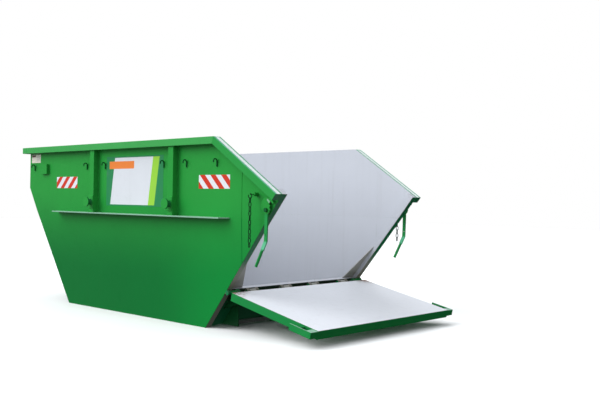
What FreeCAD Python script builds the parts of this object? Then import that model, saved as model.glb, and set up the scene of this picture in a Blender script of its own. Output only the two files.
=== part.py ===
import FreeCAD
import Part
import math
import os

Vector = FreeCAD.Vector

# Builders skip with a drop flap. Millimetres. The origin is the centre of the base on the ground,
# +X points to the flap end, +Z up, and the right-hand side of the skip is at -Y.

# Body outline, over the outer faces of the plates
base_length = 2265.0
side_width = 1900.0
overall_height = 1700.0
rear_overhang = 816.0
rear_kink_drop = 452.0
nose_overhang = 965.0
nose_drop = 497.0
slope_start_overhang = 195.0
ledge_drop = 703.0
wall_lean = 36.0
seam_overhang = 487.0
threshold_height = 368.0

# Sheet, and the clearances that the whole skip shares
wall_thickness = 4.0
floor_thickness = 5.0
tube_wall = 4.0
weld_gap = 0.3
fit_clearance = 0.05
running_gap = 1.0
sticker_thickness = 1.0
overrun = 20.0

# Runners under the floor
runner_height = 80.0
runner_width = 100.0
runner_spacing = 600.0
runner_end_gap = 8.0

# Rim round the top
rim_height = 65.0
rim_depth = 77.0
rear_rail_outside = 41.0
rear_rail_inside = 49.0

# Flap opening: posts, hinge beam, threshold and corner gussets
post_depth = 78.0
post_width = 60.0
beam_height = 90.0
beam_wall = 6.0
threshold_depth = 125.0
threshold_thickness = 10.0
front_plate_recess = 50.0
gusset_height = 390.0
gusset_width = 165.0
gusset_thickness = 8.0
gusset_setback = 38.0

# Ribs, ledges and lifting pins
rib_width = 76.0
rib_depth = 58.0
lifting_pin_spacing = 1302.0
lifting_pin_centre = 62.5
lifting_pin_rise = 107.0
lifting_pin_radius = 22.0
lifting_pin_root_radius = 32.0
lifting_pin_length = 44.0
collar_radius = 50.0
collar_thickness = 14.0
pad_height = 130.0
pad_thickness = 8.0
ledge_depth = 100.0
ledge_thickness = 12.0
ledge_rear_setback = 457.0
ledge_seam_gap = 146.5
ledge_end_taper = 40.0

# Net hooks
hook_rod_radius = 6.0
hook_bend_radius = 20.0
hook_rim_gap = 122.0
hook_stem_length = 48.0
hook_lip_length = 12.0
hook_rib_offset = 168.0
hook_end_inset = 116.0
hook_nose_inset = 28.0
hook_rear_spacing = 600.0

# Flag pocket, plates and labels on the side
pocket_width = 130.0
pocket_height = 110.0
pocket_depth = 32.0
pocket_sheet = 3.0
pocket_end_inset = 286.0
pocket_rim_gap = 124.0
marker_length = 415.0
marker_height = 123.0
marker_end_inset = 586.0
marker_nose_inset = 274.0
marker_edge_inset = 12.0
marker_middle_drop = 10.0
marker_kink_gap = 14.0
panel_length = 937.0
panel_ledge_gap = 73.0
panel_rim_gap = 71.0
panel_offset = 5.0
label_length = 195.0
label_height = 95.0
label_end_inset = 34.0
label_top_gap = 10.0

# Tipping pockets at the foot of both ends
tipping_height = 200.0
tipping_outer_bay = 470.0
tipping_centre_bay = 380.0
cheek_thickness = 10.0
cheek_ground_gap = 4.0
tipping_bar_radius = 20.0
tipping_bar_setback = 32.0
tipping_bar_height = 42.0

# Drop flap and its hinges
flap_tip_gap = 10.0
flap_side_inset = 21.0
flap_thickness = 72.0
flap_plate = 5.0
flap_open_angle = 11.7
flap_rail_width = 50.0
flap_stiffener_width = 60.0
flap_stiffener_spacing = 455.0
hinge_reach = 58.0
hinge_drop = 20.0
hinge_pin_setback = 20.8
hinge_pin_radius = 12.0
hinge_tube_radius = 19.0
hinge_pin_head = 6.0
hinge_pin_head_radius = 17.0
flap_knuckle_length = 70.0
fixed_knuckle_length = 35.0
hinge_strap_thickness = 16.0
hinge_places_shares = (0.21, 0.68, 0.93)
stop_thickness = 12.0
stop_reach = 46.0
stop_foot = 110.0
stop_places_shares = (0.44, 0.82)

# Keeper boxes on the flap, which the claws hook into
keeper_length = 234.0
keeper_projection = 86.0
keeper_height = 54.0
keeper_step = 4.0
keeper_lever_gap = 28.0
keeper_end_wall = 20.0
keeper_outer_wall = 10.0
keeper_block = 58.0
keeper_pin_radius = 10.0
keeper_pin_offset = 40.0
keeper_pin_depth = 20.0

# Lock levers
lock_tip_gap = 198.6
lock_inset = 37.0
lock_stand_off = 16.0
claw_thickness = 12.0
claw_disc_radius = 59.0
claw_disc_back = 6.0
claw_disc_rise = 38.0
claw_hub_radius = 36.0
claw_reach = 104.0
claw_mouth_inner = 56.0
claw_mouth_outer = 85.0
claw_relief = 40.0
claw_tip_angle = 36.0
claw_mouth_angle = 59.0
claw_back_angle = 104.0
lock_bolt_radius = 12.0
lock_spacer_radius = 28.0
lock_nut_radius = 19.0
lock_nut_length = 16.0
lever_width = 34.0
lever_length = 258.0
lever_drift = 5.0
lever_foot = 84.0
lever_foot_angle = 27.0
lever_hole_radius = 6.0
lever_hole_rise = 50.0
handle_radius = 13.0
handle_wall = 3.0
handle_length = 158.0

# Safety chains
peg_lock_setback = 134.0
peg_lock_rise = 127.0
peg_radius = 5.5
peg_length = 96.0
peg_nut_radius = 18.0
peg_nut_length = 44.0
peg_head_radius = 9.0
peg_head_thickness = 3.0
ring_radius = 17.5
ring_wire_radius = 4.0
chain_stand_off = 85.0
link_wire_radius = 4.0
link_inner_length = 37.6
link_outer_width = 28.0
link_slack = 0.3
link_count = 11

# Places that follow from the sizes above
base_end = base_length / 2
half_width = side_width / 2
rear_wall = -base_end - rear_overhang
ledge_height = overall_height - ledge_drop
rear_kink_height = overall_height - rear_kink_drop
nose_height = overall_height - nose_drop
tip = (base_end + nose_overhang, nose_height)
turn = (base_end + slope_start_overhang, overall_height)
seam = base_end + seam_overhang
inner_face = half_width - wall_thickness
rim_underside = overall_height - rim_height
rail_front = rear_wall + rear_rail_inside
wall_middle = (ledge_height + rim_underside) / 2

opening_angle = math.atan2(nose_height, nose_overhang)
rim_angle = math.atan2(overall_height - nose_height, nose_overhang - slope_start_overhang)
rear_angle = math.atan2(rear_kink_height, rear_overhang)
fold_angle = math.atan2(wall_lean, ledge_height)

opening_up = (math.cos(opening_angle), math.sin(opening_angle))
opening_out = (math.sin(opening_angle), -math.cos(opening_angle))
rim_down = (math.cos(rim_angle), -math.sin(rim_angle))
rim_normal = (math.sin(rim_angle), math.cos(rim_angle))
level = (1, 0)

# Distances along the sloping opening, from the ground up
tip_along = math.hypot(nose_overhang, nose_height)
lock_along = tip_along - lock_tip_gap
hinge_pin_along = threshold_height / opening_up[1] - hinge_pin_setback
flap_length = tip_along - flap_tip_gap - hinge_pin_along - hinge_reach


# Helpers for places in the side view, as pairs of x and height
def opening_x(height, out=0.0):
    return base_end + height / math.tan(opening_angle) + out / math.sin(opening_angle)


def opening_point(along, out):
    x = base_end + along * opening_up[0] + out * opening_out[0]
    return (x, along * opening_up[1] + out * opening_out[1])


def rear_x(height, inward=0.0):
    return -base_end - height / math.tan(rear_angle) + inward / math.sin(rear_angle)


def rim_line(below=0.0):
    return (tip[0] - rim_normal[0] * below, tip[1] - rim_normal[1] * below)


def lean_in(height):
    return max(ledge_height - height, 0.0) * math.tan(fold_angle)


def crossing(point, direction, other_point, other_direction):
    cross = direction[0] * other_direction[1] - direction[1] * other_direction[0]
    gap_x = other_point[0] - point[0]
    gap_z = other_point[1] - point[1]
    reach = (gap_x * other_direction[1] - gap_z * other_direction[0]) / cross
    return (point[0] + direction[0] * reach, point[1] + direction[1] * reach)


# Helpers for solids
def save(name, pieces):
    shape = pieces[0] if len(pieces) == 1 else Part.makeCompound(pieces)
    shape.exportStep("parts/" + name + ".step")


def mirrored(piece):
    return piece.mirror(Vector(0, 0, 0), Vector(0, 1, 0))


def save_pair(name, pieces):
    save(name + "_right", pieces)
    save(name + "_left", [mirrored(piece) for piece in pieces])


def both_sides(pieces):
    return pieces + [mirrored(piece) for piece in pieces]


def box(low, high):
    size = [high[axis] - low[axis] for axis in range(3)]
    return Part.makeBox(size[0], size[1], size[2], Vector(low[0], low[1], low[2]))


def prism(outline, start_y, end_y):
    corners = [Vector(x, start_y, z) for x, z in outline]
    face = Part.Face(Part.makePolygon(corners + [corners[0]]))
    return face.extrude(Vector(0, end_y - start_y, 0))


def slab(corners, thickness_vector):
    face = Part.Face(Part.makePolygon(corners + [corners[0]]))
    return face.extrude(thickness_vector)


def rod(radius, start, end):
    return Part.makeCylinder(radius, (end - start).Length, start, end - start)


def bend(radius, start, centre, axis, degrees):
    circle = Part.makeCircle(radius, start, axis.cross(start - centre))
    return Part.Face(Part.Wire(circle)).revolve(centre, axis, degrees)


def joined(pieces):
    return pieces[0].multiFuse(pieces[1:]).removeSplitter()


# The walls below the ledge lean in: they are drawn upright, turned about the ledge line and trimmed.
def upright(outline):
    stretch = math.cos(fold_angle)
    return [(x, ledge_height - (ledge_height - z) / stretch) for x, z in outline]


def leaning(piece):
    turned = piece.copy()
    turned.rotate(Vector(0, -half_width, ledge_height), Vector(1, 0, 0), math.degrees(fold_angle))
    keep = box((rear_wall, -side_width, 0), (tip[0], 0, ledge_height))
    return turned.common(keep)


def side_plates():
    foot = -overrun
    top = ledge_height + overrun
    seam_foot = (seam - base_end) * math.tan(opening_angle)
    seam_top = crossing(tip, rim_down, (seam, 0), (0, 1))

    upper = [
        (rear_x(ledge_height), ledge_height),
        (rear_wall, rear_kink_height),
        (rear_wall, rim_underside),
        (rail_front, rim_underside),
        (rail_front, overall_height),
        turn,
        seam_top,
        (seam, ledge_height),
    ]
    nose = [(seam, ledge_height), (opening_x(ledge_height), ledge_height), tip, seam_top]
    lower = [
        (rear_x(foot), foot),
        (opening_x(foot), foot),
        (seam, seam_foot),
        (seam, top),
        (rear_x(top), top),
    ]
    lower_nose = [(seam, seam_foot), (opening_x(top), top), (seam, top)]

    save_pair("upper_side_plate", [prism(upper, -half_width, -inner_face)])
    save("upper_nose_plates", both_sides([prism(nose, -half_width, -inner_face)]))
    save_pair("lower_side_plate", [leaning(prism(upright(lower), -half_width, -inner_face))])
    lower_corner = leaning(prism(upright(lower_nose), -half_width, -inner_face))
    save("lower_nose_plates", both_sides([lower_corner]))


# A plate across the skip between heights low and high, its edges following the leaning walls
def cross_plate(x_at, edge, low, high, thickness_vector):
    heights = [low, high]
    if low < ledge_height < high:
        heights = [low, ledge_height, high]
    right = [Vector(x_at(z), -(edge - lean_in(z)), z) for z in heights]
    left = [Vector(x_at(z), edge - lean_in(z), z) for z in reversed(heights)]
    return slab(right + left, thickness_vector)


def end_plates():
    rear_edge = inner_face - weld_gap
    inward = Vector(math.sin(rear_angle), 0, math.cos(rear_angle)) * wall_thickness
    save("rear_lower_plate", [cross_plate(rear_x, rear_edge, 0, rear_kink_height, inward)])

    upper_low = (rear_wall, -rear_edge, rear_kink_height + wall_thickness * math.cos(rear_angle))
    upper_high = (rear_wall + wall_thickness, rear_edge, rim_underside)
    save("rear_upper_plate", [box(upper_low, upper_high)])

    front_edge = inner_face - post_width - weld_gap
    front_top = threshold_height - threshold_thickness - beam_height - wall_thickness * opening_up[0]
    back = Vector(-opening_out[0], 0, -opening_out[1]) * wall_thickness

    def recessed_x(height):
        return opening_x(height, -front_plate_recess)

    save("front_lower_plate", [cross_plate(recessed_x, front_edge, 0, front_top, back)])


def floor():
    floor_top = runner_height + floor_thickness
    rear = rear_x(runner_height, wall_thickness) + weld_gap
    front = opening_x(runner_height, -front_plate_recess - wall_thickness) - weld_gap
    post_lift = (wall_thickness + post_width) * math.tan(fold_angle)
    notch = opening_x(runner_height - post_lift, -post_depth) - weld_gap
    wide = inner_face - lean_in(runner_height) - weld_gap
    narrow = wide - post_width - weld_gap
    half = [(rear, wide), (notch, wide), (notch, narrow), (front, narrow)]
    corners = [Vector(x, -y, runner_height) for x, y in half]
    corners += [Vector(x, y, runner_height) for x, y in reversed(half)]
    save("floor_plate", [slab(corners, Vector(0, 0, floor_top - runner_height))])

    start = -base_end + runner_end_gap
    end = opening_x(0, -front_plate_recess - wall_thickness) - runner_end_gap
    runners = []
    for row in (-1, 0, 1):
        low_y = row * runner_spacing - runner_width / 2
        high_y = low_y + runner_width
        outside = box((start, low_y, 0), (end, high_y, runner_height))
        core_low = (start - overrun, low_y + tube_wall, tube_wall)
        core_high = (end + overrun, high_y - tube_wall, runner_height - tube_wall)
        runners.append(outside.cut(box(core_low, core_high)))
    save("floor_runners", runners)


def end_posts():
    outer_y = -inner_face + weld_gap
    inner_y = -inner_face + post_width
    core_outer = outer_y + tube_wall
    core_inner = inner_y - tube_wall

    def band(front, back, low, cap):
        cap_point = rim_line(cap)
        front_base = opening_point(0, front)
        back_base = opening_point(0, back)
        front_top = crossing(front_base, opening_up, cap_point, rim_down)
        back_top = crossing(back_base, opening_up, cap_point, rim_down)
        return [(opening_x(low, back), low), (opening_x(low, front), low), front_top, back_top]

    post = prism(band(0, -post_depth, ledge_height, 0), outer_y, inner_y)
    core_outline = band(-tube_wall, tube_wall - post_depth, ledge_height - overrun, tube_wall)
    save("upper_end_posts", both_sides([post.cut(prism(core_outline, core_outer, core_inner))]))

    def lower_band(front, back, low):
        top = ledge_height + overrun
        corners = [(back, low), (front, low), (front, top), (back, top)]
        return upright([(opening_x(z, out), z) for out, z in corners])

    post = prism(lower_band(0, -post_depth, -overrun), outer_y, inner_y)
    core_outline = lower_band(-tube_wall, tube_wall - post_depth, tube_wall)
    post = post.cut(prism(core_outline, core_outer, core_inner))
    save("lower_end_posts", both_sides([leaning(post)]))


def opening_sill():
    plate_bottom = threshold_height - threshold_thickness
    beam_bottom = plate_bottom - beam_height
    edge = inner_face - post_width - lean_in(beam_bottom) - weld_gap
    nose = opening_x(plate_bottom)
    foot_back = opening_x(beam_bottom, -front_plate_recess - wall_thickness)

    plate_outline = [
        (opening_x(threshold_height) - threshold_depth, plate_bottom),
        (nose, plate_bottom),
        (opening_x(threshold_height), threshold_height),
        (opening_x(threshold_height) - threshold_depth, threshold_height),
    ]
    save("threshold_plate", [prism(plate_outline, -edge, edge)])

    beam_outline = [
        (foot_back, beam_bottom),
        (opening_x(beam_bottom), beam_bottom),
        (nose, plate_bottom),
        (nose - threshold_depth, plate_bottom),
    ]
    corners = [Vector(x, -edge, z) for x, z in beam_outline]
    section = Part.Face(Part.makePolygon(corners + [corners[0]]))
    hollow = section.makeOffset2D(-beam_wall)
    tube = section.cut(hollow).extrude(Vector(0, edge + edge, 0))
    save("hinge_beam", [tube.Solids[0]])

    foot = threshold_height
    along_foot = foot / opening_up[1]
    along_top = along_foot + gusset_height
    top_point = opening_point(along_top, -gusset_setback)
    post_y = inner_face - post_width - weld_gap
    foot_x = opening_x(foot + weld_gap, -gusset_setback)
    corners = [
        Vector(foot_x, -(post_y - lean_in(foot)), foot + weld_gap),
        Vector(foot_x, -(post_y - lean_in(foot) - gusset_width), foot + weld_gap),
        Vector(top_point[0], -(post_y - lean_in(top_point[1])), top_point[1]),
    ]
    back = Vector(-opening_out[0], 0, -opening_out[1]) * gusset_thickness
    gusset = slab(corners, back)
    save("corner_gussets", both_sides([gusset]))


def rims():
    outer_y = -half_width - rim_depth
    mitre = crossing((0, rim_underside), level, rim_line(rim_height), rim_down)
    side_outline = [(rail_front, rim_underside), mitre, turn, (rail_front, overall_height)]
    side = prism(side_outline, outer_y, -half_width)
    core_low = (rail_front - overrun, outer_y + tube_wall, rim_underside + tube_wall)
    core_high = (turn[0] + overrun, -half_width - tube_wall, overall_height - tube_wall)
    save_pair("side_rim", [side.cut(box(core_low, core_high))])

    end_low = crossing(rim_line(rim_height), rim_down, tip, opening_up)
    slope = prism([mitre, end_low, tip, turn], outer_y, -half_width)
    inner_end = opening_point(0, -tube_wall)
    core_start = rear_rail_inside + rim_height
    core_outline = []
    for below in (rim_height - tube_wall, tube_wall):
        line = rim_line(below)
        meeting = crossing(line, rim_down, inner_end, opening_up)
        back_x = turn[0] - core_start
        back_z = line[1] + (line[0] - back_x) * math.tan(rim_angle)
        ends = [(back_x, back_z), meeting]
        core_outline += ends if not core_outline else list(reversed(ends))
    core = prism(core_outline, outer_y + tube_wall, -half_width - tube_wall)
    save_pair("sloped_rim", [slope.cut(core)])

    back = rear_wall - rear_rail_outside
    end_y = half_width + rim_depth
    tube = box((back, tube_wall - end_y, rim_underside), (rail_front, end_y - tube_wall, overall_height))
    core_low = (back + tube_wall, -end_y, rim_underside + tube_wall)
    core_high = (rail_front - tube_wall, end_y, overall_height - tube_wall)
    cap = box((back, -end_y, rim_underside), (rail_front, tube_wall - end_y, overall_height))
    save("rear_rim", [tube.cut(box(core_low, core_high))] + both_sides([cap]))


def rib_places():
    return [lifting_pin_centre + side * lifting_pin_spacing / 2 for side in (-1, 1)]


def ribs_and_ledges():
    face = -half_width - rib_depth
    ribs = []
    for x in rib_places():
        low = (x - rib_width / 2, face, ledge_height)
        high = (x + rib_width / 2, -half_width, rim_underside)
        core_low = (low[0] + tube_wall, face + tube_wall, ledge_height - overrun)
        core_high = (high[0] - tube_wall, -half_width - tube_wall, rim_underside + overrun)
        ribs.append(box(low, high).cut(box(core_low, core_high)))
    save_pair("side_ribs", ribs)

    rear_end = rear_x(ledge_height) + ledge_rear_setback
    front_end = seam - ledge_seam_gap
    outer_edge = -half_width - ledge_depth
    corners = [
        Vector(rear_end, -half_width, ledge_height),
        Vector(rear_end + ledge_end_taper, outer_edge, ledge_height),
        Vector(front_end - ledge_end_taper, outer_edge, ledge_height),
        Vector(front_end, -half_width, ledge_height),
    ]
    save_pair("stacking_ledge", [slab(corners, Vector(0, 0, -ledge_thickness))])

    pin_height = ledge_height + lifting_pin_rise
    pads = []
    pins = []
    for x in rib_places():
        pad_low = (x - rib_width / 2, face - pad_thickness, pin_height - pad_height / 2)
        pad_high = (x + rib_width / 2, face, pin_height + pad_height / 2)
        pads.append(box(pad_low, pad_high))
        root = Vector(x, face - pad_thickness, pin_height)
        neck = root - Vector(0, lifting_pin_length, 0)
        end = neck - Vector(0, collar_thickness, 0)
        taper = Part.makeCone(lifting_pin_root_radius, lifting_pin_radius, lifting_pin_length, root, end - neck)
        pins.append(joined([taper, rod(collar_radius, neck, end)]))
    save("lifting_pin_pads", both_sides(pads))
    save("lifting_pins", both_sides(pins))


# An open hook of bent rod: the stem lies on the wall, the lip stands off it and points down.
def net_hook(base, outward):
    stem_foot = base + outward * (hook_rod_radius + weld_gap)
    stem_top = stem_foot + Vector(0, 0, hook_stem_length)
    centre = stem_top + outward * hook_bend_radius
    lip_top = centre + outward * hook_bend_radius
    lip_foot = lip_top - Vector(0, 0, hook_lip_length)
    over = bend(hook_rod_radius, stem_top, centre, Vector(0, 0, 1).cross(outward), 180)
    return joined([rod(hook_rod_radius, stem_foot, stem_top), over, rod(hook_rod_radius, lip_top, lip_foot)])


def net_hooks():
    places = [rear_wall + hook_end_inset, turn[0] - hook_nose_inset]
    for x in rib_places():
        places += [x - hook_rib_offset, x + hook_rib_offset]
    hook_height = hook_stem_length + hook_bend_radius + hook_rod_radius
    bottom = rim_underside - hook_rim_gap - hook_height
    side = [net_hook(Vector(x, -half_width, bottom), Vector(0, -1, 0)) for x in places]
    rear = []
    for row in (-1, 0, 1):
        base = Vector(rear_wall, row * hook_rear_spacing, bottom)
        rear.append(net_hook(base, Vector(-1, 0, 0)))
    save("net_hooks", both_sides(side) + rear)


def side_fittings():
    face = -half_width
    start = rear_wall + pocket_end_inset
    pocket_top = rim_underside - pocket_rim_gap
    low = (start, face - pocket_depth, pocket_top - pocket_height)
    high = (start + pocket_width, face, pocket_top)
    core_low = (start + pocket_sheet, low[1] + pocket_sheet, low[2] + pocket_sheet)
    core_high = (high[0] - pocket_sheet, face - pocket_sheet, high[2] + overrun)
    pocket = box(low, high).cut(box(core_low, core_high))
    save("flag_pockets", both_sides([pocket]))

    def sticker(start_x, bottom, length, height):
        return box((start_x, face - sticker_thickness, bottom), (start_x + length, face, bottom + height))

    rear_start = rear_wall + marker_end_inset
    front_start = turn[0] - marker_nose_inset
    marker_bottom = wall_middle - marker_middle_drop - marker_height / 2
    rear_marker = sticker(rear_start, marker_bottom, marker_length, marker_height)
    front_marker = sticker(front_start, marker_bottom, marker_length, marker_height)
    side_markers = both_sides([rear_marker, front_marker])

    # One more on each edge of the slanted rear plate, just below its kink
    down = Vector(math.cos(rear_angle), 0, -math.sin(rear_angle))
    outward = Vector(-math.sin(rear_angle), 0, -math.cos(rear_angle))
    outer_y = inner_face - lean_in(rear_kink_height - marker_kink_gap - marker_length) - marker_edge_inset
    across = Vector(0, marker_height, 0)
    corner = Vector(rear_wall, -outer_y, rear_kink_height) + down * marker_kink_gap
    foot = corner + down * marker_length
    end_marker = slab([corner, foot, foot + across, corner + across], outward * sticker_thickness)
    save("hazard_markers", side_markers + both_sides([end_marker]))

    panel_start = lifting_pin_centre + panel_offset - panel_length / 2
    panel_bottom = ledge_height + panel_ledge_gap
    panel_height = rim_underside - panel_rim_gap - panel_bottom
    save("sign_panels", both_sides([sticker(panel_start, panel_bottom, panel_length, panel_height)]))

    label_start = rear_wall + label_end_inset
    label_bottom = rim_underside - label_top_gap - label_height
    save("label_plates", both_sides([sticker(label_start, label_bottom, label_length, label_height)]))


# Four cheeks under the overhang and a round bar in each bay between them
def tipping_pockets(end, foot_x, face_x, plate_x):
    cheek_centres = [tipping_centre_bay / 2, tipping_centre_bay / 2 + tipping_outer_bay]
    inward = 1 if foot_x < 0 else -1
    plate_side = plate_x(cheek_ground_gap) - inward * weld_gap
    plate_top = plate_x(tipping_height) - inward * weld_gap
    outline = [
        (plate_side, cheek_ground_gap),
        (plate_top, tipping_height),
        (face_x, tipping_height),
        (face_x, cheek_ground_gap),
    ]
    if abs(plate_top - face_x) < cheek_thickness:
        outline = [(plate_side, cheek_ground_gap), (face_x, tipping_height), (face_x, cheek_ground_gap)]
    cheeks = []
    for y in cheek_centres:
        cheeks.append(prism(outline, -y - cheek_thickness / 2, -y + cheek_thickness / 2))
    save(end + "_tipping_cheeks", both_sides(cheeks))

    bar_x = face_x + inward * tipping_bar_setback
    bars = []
    half_gap = cheek_thickness / 2 + weld_gap
    inner, outer = cheek_centres
    for low_y, high_y in ((-inner, inner), (-outer, -inner), (inner, outer)):
        start = Vector(bar_x, low_y + half_gap, tipping_bar_height)
        bars.append(rod(tipping_bar_radius, start, Vector(bar_x, high_y - half_gap, tipping_bar_height)))
    save(end + "_tipping_bars", bars)


def both_tipping_pockets():
    def recessed_x(height):
        return opening_x(height, -front_plate_recess)

    tipping_pockets("rear", -base_end, rear_x(tipping_height), rear_x)
    tipping_pockets("front", base_end, opening_x(tipping_height), recessed_x)


# The flap is drawn level with its hinge pin at pin_x, pin_z and then let down to where it lies open.
pin_x, pin_z = opening_point(hinge_pin_along, hinge_drop + running_gap)
flap_half = half_width - flap_side_inset
flap_top = hinge_drop
flap_bottom = flap_top - flap_thickness
flap_end = hinge_reach + flap_length
rail_top = flap_top - flap_plate


def let_down(piece):
    turned = piece.copy()
    turned.rotate(Vector(pin_x, 0, pin_z), Vector(0, 1, 0), flap_open_angle)
    return turned


def flap_box(low, high):
    moved_low = (pin_x + low[0], low[1], pin_z + low[2])
    moved_high = (pin_x + high[0], high[1], pin_z + high[2])
    return box(moved_low, moved_high)


def flap():
    plate = flap_box((hinge_reach, -flap_half, rail_top), (flap_end, flap_half, flap_top))
    save("flap_plate", [let_down(plate)])

    inside = flap_half - flap_rail_width
    end_inside = flap_end - flap_rail_width
    hinge_inside = hinge_reach + flap_rail_width

    def rail(low, high, along):
        outside = flap_box(low, high)
        core_low = [value + tube_wall for value in low]
        core_high = [value - tube_wall for value in high]
        core_low[along] = low[along] - overrun
        core_high[along] = high[along] + overrun
        return let_down(outside.cut(flap_box(core_low, core_high)))

    side = rail((hinge_reach, -flap_half, flap_bottom), (flap_end - tube_wall, -inside, rail_top), 0)
    cap = flap_box((flap_end - tube_wall, -flap_half, flap_bottom), (flap_end, -inside, rail_top))
    save("flap_side_rails", both_sides([joined([side, let_down(cap)])]))
    outer = rail((end_inside, -inside + weld_gap, flap_bottom), (flap_end, inside - weld_gap, rail_top), 1)
    save("flap_outer_rail", [outer])
    inner_low = (hinge_reach, -inside + weld_gap, flap_bottom)
    save("flap_hinge_rail", [rail(inner_low, (hinge_inside, inside - weld_gap, rail_top), 1)])

    stiffeners = []
    for row in (-1, 0, 1):
        low_y = row * flap_stiffener_spacing - flap_stiffener_width / 2
        low = (hinge_inside + weld_gap, low_y, flap_bottom)
        high = (end_inside - weld_gap, low_y + flap_stiffener_width, rail_top)
        stiffeners.append(rail(low, high, 0))
    save("flap_stiffeners", stiffeners)


def hinges():
    pin_centre = Vector(pin_x, 0, pin_z)
    bore = hinge_pin_radius + fit_clearance
    knuckle_half = flap_knuckle_length / 2
    fixed_start = knuckle_half + running_gap
    fixed_end = fixed_start + fixed_knuckle_length

    def at(y):
        return pin_centre + Vector(0, y, 0)

    def fixed_knuckle(low_y, high_y):
        along = hinge_pin_along
        half_strap = hinge_tube_radius
        foot = [
            opening_point(along - half_strap, 0),
            opening_point(along - half_strap, hinge_drop),
            opening_point(along + half_strap, hinge_drop),
            opening_point(along + half_strap, 0),
        ]
        body = joined([prism(foot, low_y, high_y), rod(hinge_tube_radius, at(low_y), at(high_y))])
        return body.cut(rod(bore, at(low_y - overrun), at(high_y + overrun)))

    def flap_knuckle(low_y, high_y):
        half_strap = hinge_strap_thickness / 2
        strap = flap_box((0, low_y, -half_strap), (hinge_reach, high_y, half_strap))
        body = joined([strap, rod(hinge_tube_radius, at(low_y), at(high_y))])
        return let_down(body.cut(rod(bore, at(low_y - overrun), at(high_y + overrun))))

    widest = inner_face - lean_in(threshold_height)
    fixed = []
    moving = []
    pins = []
    for share in hinge_places_shares:
        y = -widest * share
        fixed.append(fixed_knuckle(y - fixed_end, y - fixed_start))
        fixed.append(fixed_knuckle(y + fixed_start, y + fixed_end))
        moving.append(flap_knuckle(y - knuckle_half, y + knuckle_half))
        shank = rod(hinge_pin_radius, at(y - fixed_end), at(y + fixed_end + hinge_pin_head))
        head = rod(hinge_pin_head_radius, at(y + fixed_end), at(y + fixed_end + hinge_pin_head))
        pins.append(joined([shank, head]))
    save("fixed_hinge_knuckles", both_sides(fixed))
    save("flap_hinge_knuckles", both_sides(moving))
    save("hinge_pins", both_sides(pins))

    # Brackets under the hinge that carry the open flap's rail
    turn_down = math.radians(flap_open_angle)

    def under_rail(along):
        drop = -flap_bottom + weld_gap
        x = pin_x + along * math.cos(turn_down) - drop * math.sin(turn_down)
        return (x, pin_z - along * math.sin(turn_down) - drop * math.cos(turn_down))

    stop_top = threshold_height - threshold_thickness - beam_height - weld_gap
    back = weld_gap - front_plate_recess
    outline = [
        (opening_x(stop_top, weld_gap), stop_top),
        opening_point(hinge_pin_along - hinge_reach, weld_gap),
        under_rail(hinge_reach),
        under_rail(hinge_reach + stop_reach),
        (opening_x(stop_top - stop_foot, back), stop_top - stop_foot),
        (opening_x(stop_top, back), stop_top),
    ]
    stops = []
    for share in stop_places_shares:
        y = -widest * share
        stops.append(prism(outline, y - stop_thickness / 2, y + stop_thickness / 2))
    save("flap_stops", both_sides(stops))


# The claws and the keepers share their sizes, so that a turned claw passes through its keeper box.
def keepers():
    top = flap_top - keeper_step
    bottom = top - keeper_height
    start = flap_end - keeper_length
    inner_y = -flap_half
    outer_y = inner_y - keeper_projection
    slot_outer = outer_y + keeper_outer_wall
    slot_start = start + keeper_end_wall
    slot_end = flap_end - keeper_block
    # The wall nearest the hinge stands lower, clear of the hanging lever when the flap is shut.
    pieces = [
        flap_box((start, slot_outer, bottom), (slot_start, inner_y, top - keeper_lever_gap)),
        flap_box((start, outer_y, bottom), (slot_end, slot_outer, top)),
        flap_box((slot_end, outer_y, bottom), (flap_end, inner_y, top)),
    ]
    save("flap_keeper_boxes", both_sides([let_down(piece) for piece in pieces]))

    along = lock_along - hinge_pin_along + keeper_pin_offset
    height = hinge_drop + running_gap - keeper_pin_depth
    start_point = Vector(pin_x + along, inner_y, pin_z + height)
    end_point = Vector(pin_x + along, slot_outer, pin_z + height)
    save("flap_keeper_pins", both_sides([let_down(rod(keeper_pin_radius, start_point, end_point))]))


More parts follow.
